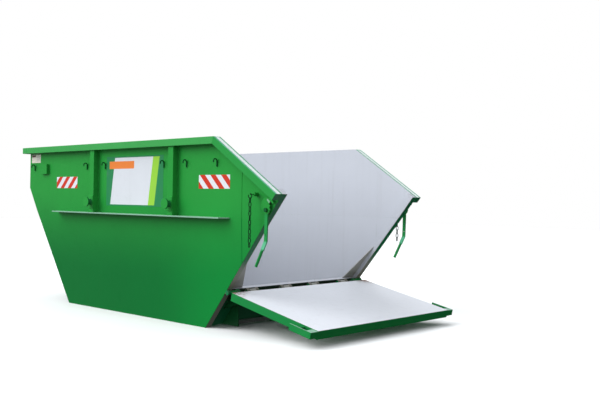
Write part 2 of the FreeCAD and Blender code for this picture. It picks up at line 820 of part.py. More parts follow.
def locks():
    pivot_x, pivot_z = opening_point(lock_along, -lock_inset)
    face_y = -half_width - lock_stand_off
    outer_y = face_y - claw_thickness
    pivot = Vector(pivot_x, face_y, pivot_z)
    outward = Vector(0, -1, 0)
    bore = lock_bolt_radius + fit_clearance

    # A sector of a disc about the pivot, its angles from +X towards +Z
    def sector(radius, start_angle, end_angle):
        origin = Vector(0, 0, 0)
        wedge = Part.makeCylinder(radius, claw_thickness, origin, Vector(0, 0, 1), end_angle - start_angle)
        wedge.rotate(origin, Vector(0, 0, 1), start_angle)
        wedge.rotate(origin, Vector(1, 0, 0), 90)
        wedge.translate(pivot)
        return wedge

    disc_centre = pivot + Vector(-claw_disc_back, 0, claw_disc_rise)
    claw = joined([
        Part.makeCylinder(claw_disc_radius, claw_thickness, disc_centre, outward),
        Part.makeCylinder(claw_hub_radius, claw_thickness, pivot, outward),
        sector(claw_reach, claw_tip_angle, claw_back_angle),
    ])
    mouth = sector(claw_mouth_outer, claw_tip_angle, claw_mouth_angle)
    claw = claw.cut(mouth.cut(Part.makeCylinder(claw_mouth_inner, claw_thickness, pivot, outward)))
    relief = sector(claw_reach, 0, claw_tip_angle)
    claw = claw.cut(relief.cut(Part.makeCylinder(claw_relief, claw_thickness, pivot, outward)))
    claw = claw.cut(rod(bore, pivot - outward * overrun, pivot + outward * overrun))
    save_pair("lock_claw", [claw])

    # The bar hangs from the hub, then bends back towards the body and ends in a round handle.
    foot_angle = math.radians(lever_foot_angle)
    bar_down = Vector(-lever_drift, 0, -lever_length).normalize()
    foot_down = Vector(-math.sin(foot_angle), 0, -math.cos(foot_angle))
    knee = pivot + bar_down * lever_length
    bar_end = knee + foot_down * lever_foot

    def beside(point, direction, side):
        across = direction.cross(outward).normalize()
        place = point + across * (side * lever_width / 2)
        return (place.x, place.z)

    def edge(side):
        along_bar = beside(pivot, bar_down, side)
        along_foot = beside(bar_end, foot_down, side)
        knee_corner = crossing(along_bar, (bar_down.x, bar_down.z), along_foot, (foot_down.x, foot_down.z))
        return [along_bar, knee_corner, along_foot]

    bar = prism(edge(1) + list(reversed(edge(-1))), outer_y, face_y)
    hub = Part.makeCylinder(claw_hub_radius + weld_gap, claw_thickness, pivot, outward)
    disc = Part.makeCylinder(claw_disc_radius + weld_gap, claw_thickness, disc_centre, outward)
    bar = bar.cut(hub).cut(disc)
    hole_centre = knee - bar_down * lever_hole_rise
    bar = bar.cut(rod(lever_hole_radius, hole_centre - outward * overrun, hole_centre + outward * overrun))
    save_pair("lock_lever", [bar])

    middle = outward * (claw_thickness / 2)
    handle_start = bar_end + middle
    handle_end = handle_start + foot_down * handle_length
    grip = rod(handle_radius, handle_start, handle_end)
    hollow_start = handle_start + foot_down * handle_wall
    hollow = rod(handle_radius - handle_wall, hollow_start, handle_end + foot_down * overrun)
    save_pair("lock_handle", [grip.cut(hollow)])

    wall = Vector(pivot_x, -half_width, pivot_z)
    spacer = rod(lock_spacer_radius, wall, pivot - outward * weld_gap)
    spacer = spacer.cut(rod(bore, wall - outward * overrun, pivot + outward * overrun))
    save("lock_spacers", both_sides([spacer]))
    nut_start = pivot + outward * (claw_thickness + weld_gap)
    nut_end = nut_start + outward * lock_nut_length
    nut = prism(hexagon(pivot_x, pivot_z, lock_nut_radius), nut_end.y, nut_start.y)
    save("lock_pivot_bolts", both_sides([joined([rod(lock_bolt_radius, wall, nut_end), nut])]))


def hexagon(x, z, radius):
    corners = [math.radians(step) for step in range(0, 360, 60)]
    return [(x + radius * math.cos(turned), z + radius * math.sin(turned)) for turned in corners]


def chain_link():
    half = link_outer_width / 2 - link_wire_radius
    rise = link_inner_length / 2 + link_wire_radius - half
    corners = [Vector(side * half, 0, end * rise) for side in (-1, 1) for end in (-1, 1)]
    low_left, high_left, low_right, high_right = corners
    top = bend(link_wire_radius, high_right, Vector(0, 0, rise), Vector(0, -1, 0), 180)
    foot = bend(link_wire_radius, low_left, Vector(0, 0, -rise), Vector(0, -1, 0), 180)
    legs = [rod(link_wire_radius, low_left, high_left), rod(link_wire_radius, low_right, high_right)]
    return joined([top, legs[0], foot, legs[1]])


def safety_chains():
    pivot_x, pivot_z = opening_point(lock_along, -lock_inset)
    wall = Vector(pivot_x - peg_lock_setback, -half_width, pivot_z + peg_lock_rise)
    outward = Vector(0, -1, 0)
    end = wall + outward * peg_length
    head = rod(peg_head_radius, end - outward * peg_head_thickness, end)
    nut = prism(hexagon(wall.x, wall.z, peg_nut_radius), wall.y - peg_nut_length, wall.y)
    save("chain_pegs", both_sides([joined([rod(peg_radius, wall, end), nut, head])]))

    hang = ring_radius - peg_radius - link_slack - ring_wire_radius / 2
    centre = wall + outward * chain_stand_off - Vector(0, 0, hang)
    pieces = [Part.makeTorus(ring_radius + ring_wire_radius / 2, ring_wire_radius, centre, outward)]
    ring_foot = centre.z - ring_radius + ring_wire_radius / 2
    first = ring_foot + link_slack - link_inner_length / 2
    link = chain_link()
    for number in range(link_count):
        piece = link.copy()
        if number % 2 == 0:
            piece.rotate(Vector(0, 0, 0), Vector(0, 0, 1), 90)
        drop = number * (link_inner_length - link_slack)
        piece.translate(Vector(centre.x, centre.y, first - drop))
        pieces.append(piece)
    save_pair("safety_chain", pieces)


os.makedirs("parts", exist_ok=True)
side_plates()
end_plates()
floor()
end_posts()
opening_sill()
rims()
ribs_and_ledges()
net_hooks()
side_fittings()
both_tipping_pockets()
flap()
hinges()
keepers()
locks()
safety_chains()
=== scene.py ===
import math
import bmesh
import bpy
from mathutils import Matrix, Vector


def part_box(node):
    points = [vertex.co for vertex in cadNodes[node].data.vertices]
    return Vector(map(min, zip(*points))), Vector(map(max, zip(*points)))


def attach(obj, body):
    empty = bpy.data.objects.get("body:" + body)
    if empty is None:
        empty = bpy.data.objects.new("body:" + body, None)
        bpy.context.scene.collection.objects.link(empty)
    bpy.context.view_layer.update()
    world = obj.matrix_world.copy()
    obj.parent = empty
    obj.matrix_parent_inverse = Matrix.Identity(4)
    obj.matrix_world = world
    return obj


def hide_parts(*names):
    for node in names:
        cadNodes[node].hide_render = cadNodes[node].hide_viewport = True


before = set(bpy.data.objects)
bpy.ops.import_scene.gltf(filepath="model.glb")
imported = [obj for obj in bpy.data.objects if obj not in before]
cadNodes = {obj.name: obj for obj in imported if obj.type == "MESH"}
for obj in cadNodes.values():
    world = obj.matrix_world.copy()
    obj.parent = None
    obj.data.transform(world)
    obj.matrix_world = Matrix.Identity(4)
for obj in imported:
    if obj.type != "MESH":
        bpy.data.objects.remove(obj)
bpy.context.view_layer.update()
print("frame loaded:", len(cadNodes), "nodes")


# Camera, where the photograph was taken from
cameraSetup = {
    "place": (6.6005, -5.6077, 1.1539),
    "turn": 0.7462,          # radians to the left of +Y
    "tilt": 0.0006,
    "roll": 0.0172,
    "lens": 47.98,
    "sensor": 36.0,
    "clipEnd": 200.0,
}


def makeCamera(setup):
    turn, tilt, roll = setup["turn"], setup["tilt"], setup["roll"]
    ahead = Vector((-math.sin(turn) * math.cos(tilt), math.cos(turn) * math.cos(tilt), math.sin(tilt)))
    level = Vector((math.cos(turn), math.sin(turn), 0))
    above = level.cross(ahead)
    right = math.cos(roll) * level + math.sin(roll) * above
    up = math.cos(roll) * above - math.sin(roll) * level
    data = bpy.data.cameras.new("photoCamera")
    data.lens = setup["lens"]
    data.sensor_width = setup["sensor"]
    data.clip_end = setup["clipEnd"]
    camera = bpy.data.objects.new("photoCamera", data)
    aim = Matrix((right, up, -ahead)).transposed().to_4x4()
    camera.matrix_world = Matrix.Translation(setup["place"]) @ aim
    bpy.context.scene.collection.objects.link(camera)
    bpy.context.scene.camera = camera


makeCamera(cameraSetup)


# Shader sums written as Python sums
class Wire:
    def __init__(self, mixer, socket):
        self.mixer = mixer
        self.socket = socket

    def __add__(self, other):
        return self.mixer.sum("ADD", self, other)

    def __sub__(self, other):
        return self.mixer.sum("SUBTRACT", self, other)

    def __mul__(self, other):
        return self.mixer.sum("MULTIPLY", self, other)

    def __truediv__(self, other):
        return self.mixer.sum("DIVIDE", self, other)

    def __radd__(self, other):
        return self.mixer.sum("ADD", other, self)

    def __rsub__(self, other):
        return self.mixer.sum("SUBTRACT", other, self)

    def __rmul__(self, other):
        return self.mixer.sum("MULTIPLY", other, self)

    def __gt__(self, other):
        return self.mixer.sum("GREATER_THAN", self, other)

    def __lt__(self, other):
        return self.mixer.sum("LESS_THAN", self, other)

    def clamped(self):
        return self.mixer.node("ShaderNodeClamp", {}, {"Value": self})

    def between(self, low, high):
        # 0 below low, 1 above high, smooth between
        inputs = {"Value": self, "From Min": low, "From Max": high}
        return self.mixer.node("ShaderNodeMapRange", {"interpolation_type": "SMOOTHSTEP"}, inputs)


# Adds shader nodes to a tree
class Mixer:
    def __init__(self, tree):
        self.tree = tree

    def node(self, kind, settings, inputs, output=0):
        made = self.tree.nodes.new(kind)
        for key, value in settings.items():
            setattr(made, key, value)
        for key, value in inputs.items():
            self.feed(made.inputs[key], value)
        return Wire(self, made.outputs[output])

    def feed(self, socket, value):
        if isinstance(value, Wire):
            self.tree.links.new(value.socket, socket)
        elif isinstance(value, (tuple, list)) and len(value) == 3 and len(socket.default_value) == 4:
            socket.default_value = (*value, 1)
        else:
            socket.default_value = value

    def sum(self, operation, first, second):
        return self.node("ShaderNodeMath", {"operation": operation}, {0: first, 1: second})

    def mix(self, share, first, second):
        made = self.tree.nodes.new("ShaderNodeMix")
        made.data_type = "RGBA"
        self.feed(made.inputs["Factor"], share)
        self.feed(made.inputs[6], first)       # 6 and 7 are the colour sockets
        self.feed(made.inputs[7], second)
        return Wire(self, made.outputs[2])

    def shade(self, colour, share):
        # a colour made darker or brighter by a number
        made = self.node("ShaderNodeVectorMath", {"operation": "SCALE"}, {0: colour})
        self.feed(made.socket.node.inputs["Scale"], share)
        return made


# The same in every finish
finishSetup = {"coatRoughness": 0.1, "bumpStrength": 0.6}


# A material whose patterns follow the piece's own coordinates
class Paint(Mixer):
    def __init__(self, name):
        self.material = bpy.data.materials.new(name)
        self.material.use_nodes = True
        super().__init__(self.material.node_tree)
        self.shader = self.tree.nodes["Principled BSDF"]
        self.place = self.node("ShaderNodeTexCoord", {}, {}, "Object")
        self.x = self.node("ShaderNodeSeparateXYZ", {}, {"Vector": self.place}, "X")
        self.y = Wire(self, self.x.socket.node.outputs["Y"])
        self.z = Wire(self, self.x.socket.node.outputs["Z"])

    def noise(self, scale, detail=3.0, rough=0.55, place=None):
        inputs = {"Vector": place or self.place, "Scale": scale, "Detail": detail, "Roughness": rough}
        return self.node("ShaderNodeTexNoise", {}, inputs, "Fac")

    def stretched(self, scales):
        return self.node("ShaderNodeMapping", {}, {"Vector": self.place, "Scale": scales})

    def finish(self, colour, roughness, height, depth, metallic=0.0, coat=0.0, shine=0.5):
        self.feed(self.shader.inputs["Base Color"], colour)
        self.feed(self.shader.inputs["Roughness"], roughness)
        self.feed(self.shader.inputs["Metallic"], metallic)
        self.feed(self.shader.inputs["Coat Weight"], coat)
        self.shader.inputs["Coat Roughness"].default_value = finishSetup["coatRoughness"]
        self.shader.inputs["Specular IOR Level"].default_value = shine
        relief = {"Height": height, "Distance": depth, "Strength": finishSetup["bumpStrength"]}
        bump = self.node("ShaderNodeBump", {}, relief, "Normal")
        self.feed(self.shader.inputs["Normal"], bump)
        return self.material


# Studio: a soft sky that is brighter to the left and overhead, two wide soft lights and a panel behind
studioSetup = {
    "skyColour": (0.94, 0.97, 1.0),
    "skyBrightSide": (-0.45, -0.34, 0.82),
    "skyFade": (-0.75, 0.95),    # where the sky is darkest and brightest, along its bright side
    "skyDark": 0.08,
    "skyBright": 0.80,
    "skyShine": 0.45,        # how much of the sky mirrors in the paint
    "backdrop": 1.0,         # how white the empty background is
    "suns": [
        # name, from where, softness in radians, strength
        ("keyLight", (-5.5, -6.5, 4.4), 0.80, 2.6),
        ("overheadLight", (-1.0, -1.5, 6.0), 1.10, 0.95),
        ("frontLight", (6.0, -3.4, 1.3), 0.90, 0.42),
    ],
    "panels": [
        # name, place, aim, size, watts
        ("backPanel", (-1.1, 4.8, 6.9), (1.7, -1.0, 1.45), 3.6, 240),
    ],
    "floorColour": (0.93, 0.94, 0.95),
    "floorSize": 60.0,
    "floorDrop": 0.0005,
}


def makeLamp(name, kind, place, aim, energy, spread):
    data = bpy.data.lights.new(name, kind)
    data.energy = energy
    if kind == "SUN":
        data.angle = spread
    else:
        data.shape = "SQUARE"
        data.size = spread
    lamp = bpy.data.objects.new(name, data)
    lamp.location = place
    lamp.rotation_euler = (Vector(aim) - Vector(place)).to_track_quat("-Z", "Y").to_euler()
    lamp.visible_glossy = False
    bpy.context.scene.collection.objects.link(lamp)


def makeSky(setup):
    world = bpy.data.worlds.new("softSky")
    world.use_nodes = True
    sky = Mixer(world.node_tree)
    facing = sky.node("ShaderNodeTexCoord", {}, {}, "Generated")
    directions = {0: facing, 1: Vector(setup["skyBrightSide"]).normalized()}
    towards = sky.node("ShaderNodeVectorMath", {"operation": "DOT_PRODUCT"}, directions, "Value")
    darkest, brightest = setup["skyFade"]
    fade = towards.between(darkest, brightest)
    strength = setup["skyDark"] + fade * (setup["skyBright"] - setup["skyDark"])
    mirrored = sky.node("ShaderNodeLightPath", {}, {}, "Is Glossy Ray")
    strength = strength * (1 - mirrored * (1 - setup["skyShine"]))
    lit = sky.node("ShaderNodeBackground", {}, {"Color": setup["skyColour"], "Strength": strength})
    white = sky.node("ShaderNodeBackground", {}, {"Color": (1, 1, 1), "Strength": setup["backdrop"]})
    seen = sky.node("ShaderNodeLightPath", {}, {}, "Is Camera Ray")
    both = sky.node("ShaderNodeMixShader", {}, {0: seen})
    for number, part in enumerate((lit, white), 1):
        sky.tree.links.new(part.socket, both.socket.node.inputs[number])
    sky.tree.links.new(both.socket, sky.tree.nodes["World Output"].inputs["Surface"])
    bpy.context.scene.world = world


def makeStudio(setup):
    makeSky(setup)
    for name, place, softness, strength in setup["suns"]:
        makeLamp(name, "SUN", place, (0, 0, 0), strength, softness)
    for name, place, aim, size, watts in setup["panels"]:
        makeLamp(name, "AREA", place, aim, watts, size)
    half = setup["floorSize"] / 2
    mesh = bpy.data.meshes.new("studioFloor")
    corners = [(-half, -half, 0), (half, -half, 0), (half, half, 0), (-half, half, 0)]
    mesh.from_pydata(corners, [], [(0, 1, 2, 3)])
    floor = bpy.data.objects.new("studioFloor", mesh)
    floor.location.z = -setup["floorDrop"]
    floor.visible_diffuse = False      # the undersides stay dark, as in the photograph
    floor.visible_glossy = False
    bpy.context.scene.collection.objects.link(floor)
    bpy.context.scene.view_settings.view_transform = "Standard"
    return floor


studioFloor = makeStudio(studioSetup)
print("camera and studio ready")


rustTones = {"dark": (0.12, 0.050, 0.025), "light": (0.34, 0.16, 0.08)}


def rustColour(paint):
    return paint.mix(paint.noise(60, 4), rustTones["dark"], rustTones["light"])


# Gloss paint over steel: patchy tone, orange peel, faint runs of dirt, and rust where it is asked for
glossSetup = {
    "dirt": (0.020, 0.11, 0.035),
    "scratch": (0.22, 0.40, 0.26),
    "footRise": (0.35, 1.40),      # heights between which the foot's colour fades out
    "noseRun": (0.3, 1.4),         # the same along the skip, for the nose's own foot colour
    "depth": 0.0016,
}


def glossPaint(name, colour, foot=None, footNose=None, dirt=0.25, rustSpots=0.0, rustAt=None, over=None,
               roughness=0.34, coat=0.02, shine=0.16):
    paint = Paint(name)
    patches = paint.noise(1.3, 3)
    clouds = paint.noise(6.0, 4)
    tone = 0.90 + patches * 0.14 + clouds * 0.06
    if footNose:
        foot = paint.mix(paint.x.between(*glossSetup["noseRun"]), foot, footNose)
    if foot:
        colour = paint.mix(paint.z.between(*glossSetup["footRise"]), foot, colour)
    painted = paint.shade(colour, tone)
    streaks = paint.noise(1.0, 4, 0.6, paint.stretched((14, 14, 0.7))).between(0.52, 0.78)
    dust = paint.noise(9.0, 5, 0.65).between(0.48, 0.80)
    film = (streaks * 0.6 + dust * 0.5) * dirt
    painted = paint.mix(film.clamped(), painted, glossSetup["dirt"])
    scratches = paint.noise(1.0, 2, 0.5, paint.stretched((3, 3, 160))).between(0.73, 0.78)
    scratches = scratches * paint.noise(2.2).between(0.55, 0.7)
    painted = paint.mix(scratches * 0.30, painted, glossSetup["scratch"])
    if over:
        painted = over(paint, painted)
    rust = paint.noise(38.0, 5, 0.7).between(0.70, 0.76) * paint.noise(3.0).between(0.50, 0.65) * rustSpots
    if rustAt:
        rust = rust + rustAt(paint)
    rust = rust.clamped()
    painted = paint.mix(rust, painted, rustColour(paint))
    peel = paint.noise(260.0, 2)
    height = peel * 0.25 + patches * 0.5 + rust * paint.noise(120.0, 4) * 1.2
    gloss = roughness + dust * 0.16 + rust * 0.4 + patches * 0.06
    coat = (coat - rust * coat).clamped()
    return paint.finish(painted, gloss, height, glossSetup["depth"], coat=coat, shine=shine)


def fromMiddle(paint):
    return paint.node("ShaderNodeMath", {"operation": "ABSOLUTE"}, {0: paint.y})


# Rust that gathers in the corners at the hinge line, about the foot of the posts
rustCorner = {"foot": (0.30, 0.34), "top": (0.37, 0.50), "side": (0.70, 0.90), "along": (1.25, 1.36)}


def hingeRust(paint):
    near = 1 - paint.z.between(*rustCorner["top"])
    above = paint.z.between(*rustCorner["foot"])
    corner = fromMiddle(paint).between(*rustCorner["side"]) * paint.x.between(*rustCorner["along"])
    return near * above * corner * paint.noise(22.0, 5, 0.7).between(0.44, 0.66) * 0.45


# The front of a post: paint rubbed off along the inner edge, and grey-brown towards the foot
postSetup = {
    "innerEdge": 0.886,      # from the middle, above the fold
    "fold": 0.997,
    "lean": 0.0361,          # how much the post leans in below the fold
    "rubbedAndSheen": (0.48, 0.43, 0.38),
    "foot": (0.29, 0.275, 0.24),
    "footRise": (0.55, 0.72),
}


def postWear(paint, painted):
    lean = paint.sum("MAXIMUM", postSetup["fold"] - paint.z, 0.0) * postSetup["lean"]
    inward = fromMiddle(paint) + lean - postSetup["innerEdge"]
    rubbedAndSheen = 1 - (inward - paint.noise(14.0, 4) * 0.008).between(-0.002, 0.008)
    painted = paint.mix(rubbedAndSheen * 0.65, painted, postSetup["rubbedAndSheen"])
    foot = 1 - (paint.z + paint.noise(7.0, 4) * 0.10).between(*postSetup["footRise"])
    return paint.mix(foot * 0.85, painted, postSetup["foot"])


# Painted highlight: a bright patch on the claw, an arc about its pivot
clawSetup = {
    "pivot": (1.9384, 1.1092),
    "arcInside": (0.036, 0.044),
    "arcOutside": (0.054, 0.058),
    "across": (0.008, 0.018),
    "up": (0.012, 0.022),
    "rubbedAndSheen": (0.36, 0.60, 0.46),
}


def clawSheen(paint, painted):
    pivotX, pivotZ = clawSetup["pivot"]
    across, up = paint.x - pivotX, paint.z - pivotZ
    reach = paint.node("ShaderNodeMath", {"operation": "SQRT"}, {0: across * across + up * up})
    rubbedAndSheen = reach.between(*clawSetup["arcInside"]) * (1 - reach.between(*clawSetup["arcOutside"]))
    rubbedAndSheen = rubbedAndSheen * across.between(*clawSetup["across"]) * up.between(*clawSetup["up"])
    return paint.mix(rubbedAndSheen * 0.6, painted, clawSetup["rubbedAndSheen"])


# Painted reflection: the flat tops of the sloping rims are pale between their rounded edges
rimSetup = {
    "inside": (0.963, 0.971),
    "outside": (1.004, 1.014),
    "start": (1.30, 1.36),
    "wearAndSheen": (0.86, 0.93, 0.93),
}


def rimSheen(paint, painted):
    out = fromMiddle(paint) + paint.noise(9.0, 3) * 0.006
    band = out.between(*rimSetup["inside"]) * (1 - out.between(*rimSetup["outside"]))
    band = band * paint.x.between(*rimSetup["start"])
    return paint.mix(band * 0.95, painted, rimSetup["wearAndSheen"])


# Painted highlight: a bright patch at the lever's knee
kneeSetup = {"foot": (0.725, 0.755), "top": (0.800, 0.822), "wearAndSheen": (0.15, 0.58, 0.34)}


def leverKneeSheen(paint, painted):
    knee = paint.z.between(*kneeSetup["foot"]) * (1 - paint.z.between(*kneeSetup["top"]))
    knee = knee * paint.noise(26.0, 4).between(0.30, 0.46)
    return paint.mix(knee * 0.8, painted, kneeSetup["wearAndSheen"])


greens = {
    "side": (0.020, 0.296, 0.044),
    "lower": (0.001, 0.150, 0.026),
    "nose": (0.001, 0.220, 0.034),
    "ledge": (0.003, 0.225, 0.038),
    "rim": (0.048, 0.345, 0.080),
    "slope": (0.022, 0.290, 0.054),
    "rimTopSheen": (0.090, 0.430, 0.250),
    # end: a darker green, painted shade on the faces that look to the flap end
    "end": (0.008, 0.165, 0.060),
    "flap": (0.008, 0.215, 0.048),
    "lever": (0.014, 0.280, 0.060),
    "pin": (0.012, 0.160, 0.045),
    # fitting: a darker copy of the green, painted shade on hooks, bolts, stops and cheeks
    "fitting": (0.006, 0.095, 0.026),
    "chain": (0.006, 0.040, 0.014),
    # painted shadow: near-black green where the flap shades the hinge beam and threshold
    "underFlapShade": (0.012, 0.030, 0.014),
    "wearAndSheen": (0.240, 0.440, 0.330),
}

# painted shade: the green of the walls turns darker and bluer below the ledge, less so towards the nose
wallGreen = glossPaint("wallGreen", greens["side"], greens["lower"], greens["nose"], dirt=0.12)
sideGreen = glossPaint("sideGreen", greens["side"], dirt=0.12)
lowerGreen = glossPaint("lowerGreen", greens["ledge"], dirt=0.14)
rimGreen = glossPaint("rimGreen", greens["rim"], dirt=0.10, rustSpots=0.15)
slopeGreen = glossPaint("slopeGreen", greens["slope"], dirt=0.10, rustSpots=0.15)
# Painted reflection: a pale green for the sloping rims' tops
rimTopGreen = glossPaint("rimTopGreen", greens["rimTopSheen"], dirt=0.10, over=rimSheen, roughness=0.26, coat=0.3,
                         shine=0.5)
# Pale green for worn edges, with a painted sheen on the ledges' edges and the keeper boxes' tops
wornEdge = glossPaint("wornEdge", greens["wearAndSheen"], dirt=0.30, rustSpots=0.5, roughness=0.32, coat=0.2)
# Painted shade: the darker end green of the next two paints stands for the shade on the parts that face the
# flap end
endGreen = glossPaint("endGreen", greens["end"], dirt=0.20, rustSpots=0.4, rustAt=hingeRust)
postGreen = glossPaint("postGreen", greens["end"], dirt=0.20, rustSpots=0.3, rustAt=hingeRust, over=postWear)
flapGreen = glossPaint("flapGreen", greens["flap"], dirt=0.16, rustSpots=0.4)
clawGreen = glossPaint("clawGreen", greens["side"], dirt=0.12, rustSpots=0.4, over=clawSheen)
leverGreen = glossPaint("leverGreen", greens["lever"], dirt=0.12, rustSpots=0.4, over=leverKneeSheen, coat=0.08,
                        shine=0.25)
# Painted shade: the pins' green is darker than the wall's
pinGreen = glossPaint("pinGreen", greens["pin"], dirt=0.16, rustSpots=0.5)
# Painted shade: the fittings' green is much darker than the walls' green
fittingGreen = glossPaint("fittingGreen", greens["fitting"], dirt=0.2, rustSpots=0.5)
# Painted shade: the chain is much darker than the walls, for the shade on and between its links
chainGreen = glossPaint("chainGreen", greens["chain"], dirt=0.2, rustSpots=0.6)
# Painted shadow: the hinge beam and the threshold's front are near black, for the shade under the flap
sootyGreen = glossPaint("sootyGreen", greens["underFlapShade"], dirt=0.3, rustSpots=0.6)


# Pale paint on everything inside the skip, with scuffs from loads
innerSetup = {
    "run": (0.30, 0.30, 0.30),
    "scrape": (0.36, 0.37, 0.39),
    "rise": (0.1, 1.5),            # heights between which the paint turns from darker at the bottom to its full tone
    "roughness": 0.42,
    "depth": 0.0014,
    "coat": 0.1,
}


def innerPaint(name, colour, foot=0.86, rustAt=None, scuffs=0.35):
    paint = Paint(name)
    patches = paint.noise(0.9, 3)
    clouds = paint.noise(5.0, 4)
    tone = 0.93 + patches * 0.09 + clouds * 0.05
    tone = tone * (foot + (1 - foot) * paint.z.between(*innerSetup["rise"]))
    painted = paint.shade(colour, tone)
    runs = paint.noise(1.0, 5, 0.62, paint.stretched((18, 18, 0.5))).between(0.50, 0.85)
    painted = paint.mix(runs * 0.16, painted, innerSetup["run"])
    scrapes = paint.noise(1.0, 3, 0.5, paint.stretched((2.2, 2.2, 70))).between(0.66, 0.74)
    scrapes = scrapes * paint.noise(1.6, 2).between(0.5, 0.68) * scuffs
    painted = paint.mix(scrapes.clamped(), painted, innerSetup["scrape"])
    rust = paint.noise(30.0, 5, 0.7).between(0.73, 0.78) * paint.noise(2.4).between(0.56, 0.7) * 0.6
    if rustAt:
        rust = rust + rustAt(paint)
    rust = rust.clamped()
    painted = paint.mix(rust, painted, rustColour(paint))
    height = clouds * 0.6 + paint.noise(240.0, 2) * 0.25 + scrapes * -0.6 + rust * paint.noise(110.0, 4)
    gloss = innerSetup["roughness"] + clouds * 0.10 + rust * 0.35
    return paint.finish(painted, gloss, height, innerSetup["depth"], coat=innerSetup["coat"])


insideGrey = innerPaint("insideGrey", (0.53, 0.555, 0.61), rustAt=hingeRust)
gussetGrey = innerPaint("gussetGrey", (0.36, 0.36, 0.33), rustAt=hingeRust, scuffs=0.5)
knuckleGrey = innerPaint("knuckleGrey", (0.17, 0.16, 0.13), rustAt=hingeRust, scuffs=0.5)


# Rust stains on the sheet at its two hinge corners
stainSetup = {"spread": 0.30, "along": (1.25, 1.38), "side": (0.70, 0.92)}


def flapRust(paint):
    edge = 1 - (paint.x - fromMiddle(paint) * stainSetup["spread"]).between(*stainSetup["along"])
    edge = edge * fromMiddle(paint).between(*stainSetup["side"])
    return edge * paint.noise(16.0, 5, 0.7).between(0.38, 0.60) * 0.95


flapSheet = innerPaint("flapSheet", (0.69, 0.715, 0.77), foot=1.0, rustAt=flapRust, scuffs=0.25)


# Bare steel
def bareSteel(name, colour, roughness, rustShare):
    paint = Paint(name)
    clouds = paint.noise(24.0, 4)
    grainMarks = paint.noise(60.0, 3, 0.5)
    tone = 0.78 + clouds * 0.28 + grainMarks * 0.14
    steel = paint.shade(colour, tone)
    rust = (paint.noise(34.0, 5, 0.7).between(0.60 - rustShare * 0.1, 0.72) * rustShare).clamped()
    steel = paint.mix(rust, steel, rustColour(paint))
    height = grainMarks * 0.5 + clouds * 0.4 + rust * paint.noise(130.0, 3)
    gloss = roughness + clouds * 0.15 + rust * 0.35
    return paint.finish(steel, gloss, height, 0.0008, metallic=0.9 - rust * 0.8)


turnedSteel = bareSteel("turnedSteel", (0.42, 0.43, 0.44), 0.42, 0.5)
runnerSteel = bareSteel("runnerSteel", (0.20, 0.19, 0.18), 0.60, 0.8)


# Red and white bars at 45 degrees
markerSetup = {
    "period": 0.1414,
    "red": (0.60, 0.036, 0.014),
    "white": (0.72, 0.75, 0.80),
    "grime": (0.30, 0.30, 0.27),
    "films": {
        # which way the bars lean, where a red bar's middle lies, and whether they run along Y
        "markerRear": (-1, -2.4935, False),
        "markerFront": (1, 2.611, False),
        "markerEnd": (1, 0.0, True),
    },
}


def markerFilm(name):
    paint = Paint(name)
    lean, shift, alongY = markerSetup["films"][name]
    across = paint.y if alongY else paint.x
    # a quarter puts the red bar's middle there, and the whole turns keep the fraction's number positive
    turns = (across + paint.z * lean - shift) / markerSetup["period"] + 50.25
    fraction = paint.node("ShaderNodeMath", {"operation": "FRACT"}, {0: turns})
    red = 1 - fraction.between(0.495, 0.505)
    film = paint.mix(red, markerSetup["white"], markerSetup["red"])
    honeycomb = {"Vector": paint.place, "Scale": 130.0}
    cells = paint.node("ShaderNodeTexVoronoi", {"feature": "DISTANCE_TO_EDGE"}, honeycomb, "Distance")
    tone = 0.93 + cells.between(0.0, 0.06) * 0.07
    grime = paint.noise(12.0, 5, 0.65).between(0.52, 0.85) * 0.22
    film = paint.mix(grime, paint.shade(film, tone), markerSetup["grime"])
    return paint.finish(film, 0.40 + grime, cells, 0.0004, shine=0.3)


print("paints mixed")


# Shared mesh steps
meshSetup = {
    "mergeGap": 0.00002,
    "flatAngle": math.radians(0.6),    # faces this near to one plane become one
    "edgeAngle": math.radians(40),     # edges sharper than this are rounded
}


def addObject(name, mesh):
    made = bpy.data.objects.new(name, mesh)
    bpy.context.scene.collection.objects.link(made)
    return made


def settle(piece, name):
    # bakes the modifiers into a plain mesh and removes the working object
    bpy.context.view_layer.update()
    graph = bpy.context.evaluated_depsgraph_get()
    made = piece.evaluated_get(graph)
    mesh = bpy.data.meshes.new_from_object(made, preserve_all_data_layers=True, depsgraph=graph)
    old = piece.data
    bpy.data.objects.remove(piece)
    bpy.data.meshes.remove(old)
    mesh.name = name
    return addObject(name, mesh)


def mergedCopy(node):
    mesh = cadNodes[node].data.copy()
    mesh.materials.clear()
    work = bmesh.new()
    work.from_mesh(mesh)
    bmesh.ops.remove_doubles(work, verts=work.verts, dist=meshSetup["mergeGap"])
    bmesh.ops.dissolve_limit(work, angle_limit=meshSetup["flatAngle"], verts=work.verts, edges=work.edges)
    work.to_mesh(mesh)
    work.free()
    return mesh


# The separate solids of a node, as pairs of lowest and highest corner, ordered by x, then y
def solidBoxes(node):
    mesh = mergedCopy(node)
    work = bmesh.new()
    work.from_mesh(mesh)
    waiting = set(work.verts)
    boxes = []
    while waiting:
        island = [waiting.pop()]
        for vert in island:
            for edge in vert.link_edges:
                other = edge.other_vert(vert)
                if other in waiting:
                    waiting.remove(other)
                    island.append(other)
        corners = [[reach(vert.co[axis] for vert in island) for axis in range(3)] for reach in (min, max)]
        boxes.append((Vector(corners[0]), Vector(corners[1])))
    work.free()
    bpy.data.meshes.remove(mesh)
    return sorted(boxes, key=lambda box: (round(box[0].x, 3), round(box[0].y, 3)))


# The corner of a node that lies furthest along a direction
def furthest(node, direction):
    mesh = cadNodes[node].data
    return max((vert.co for vert in mesh.vertices), key=Vector(direction).dot).copy()


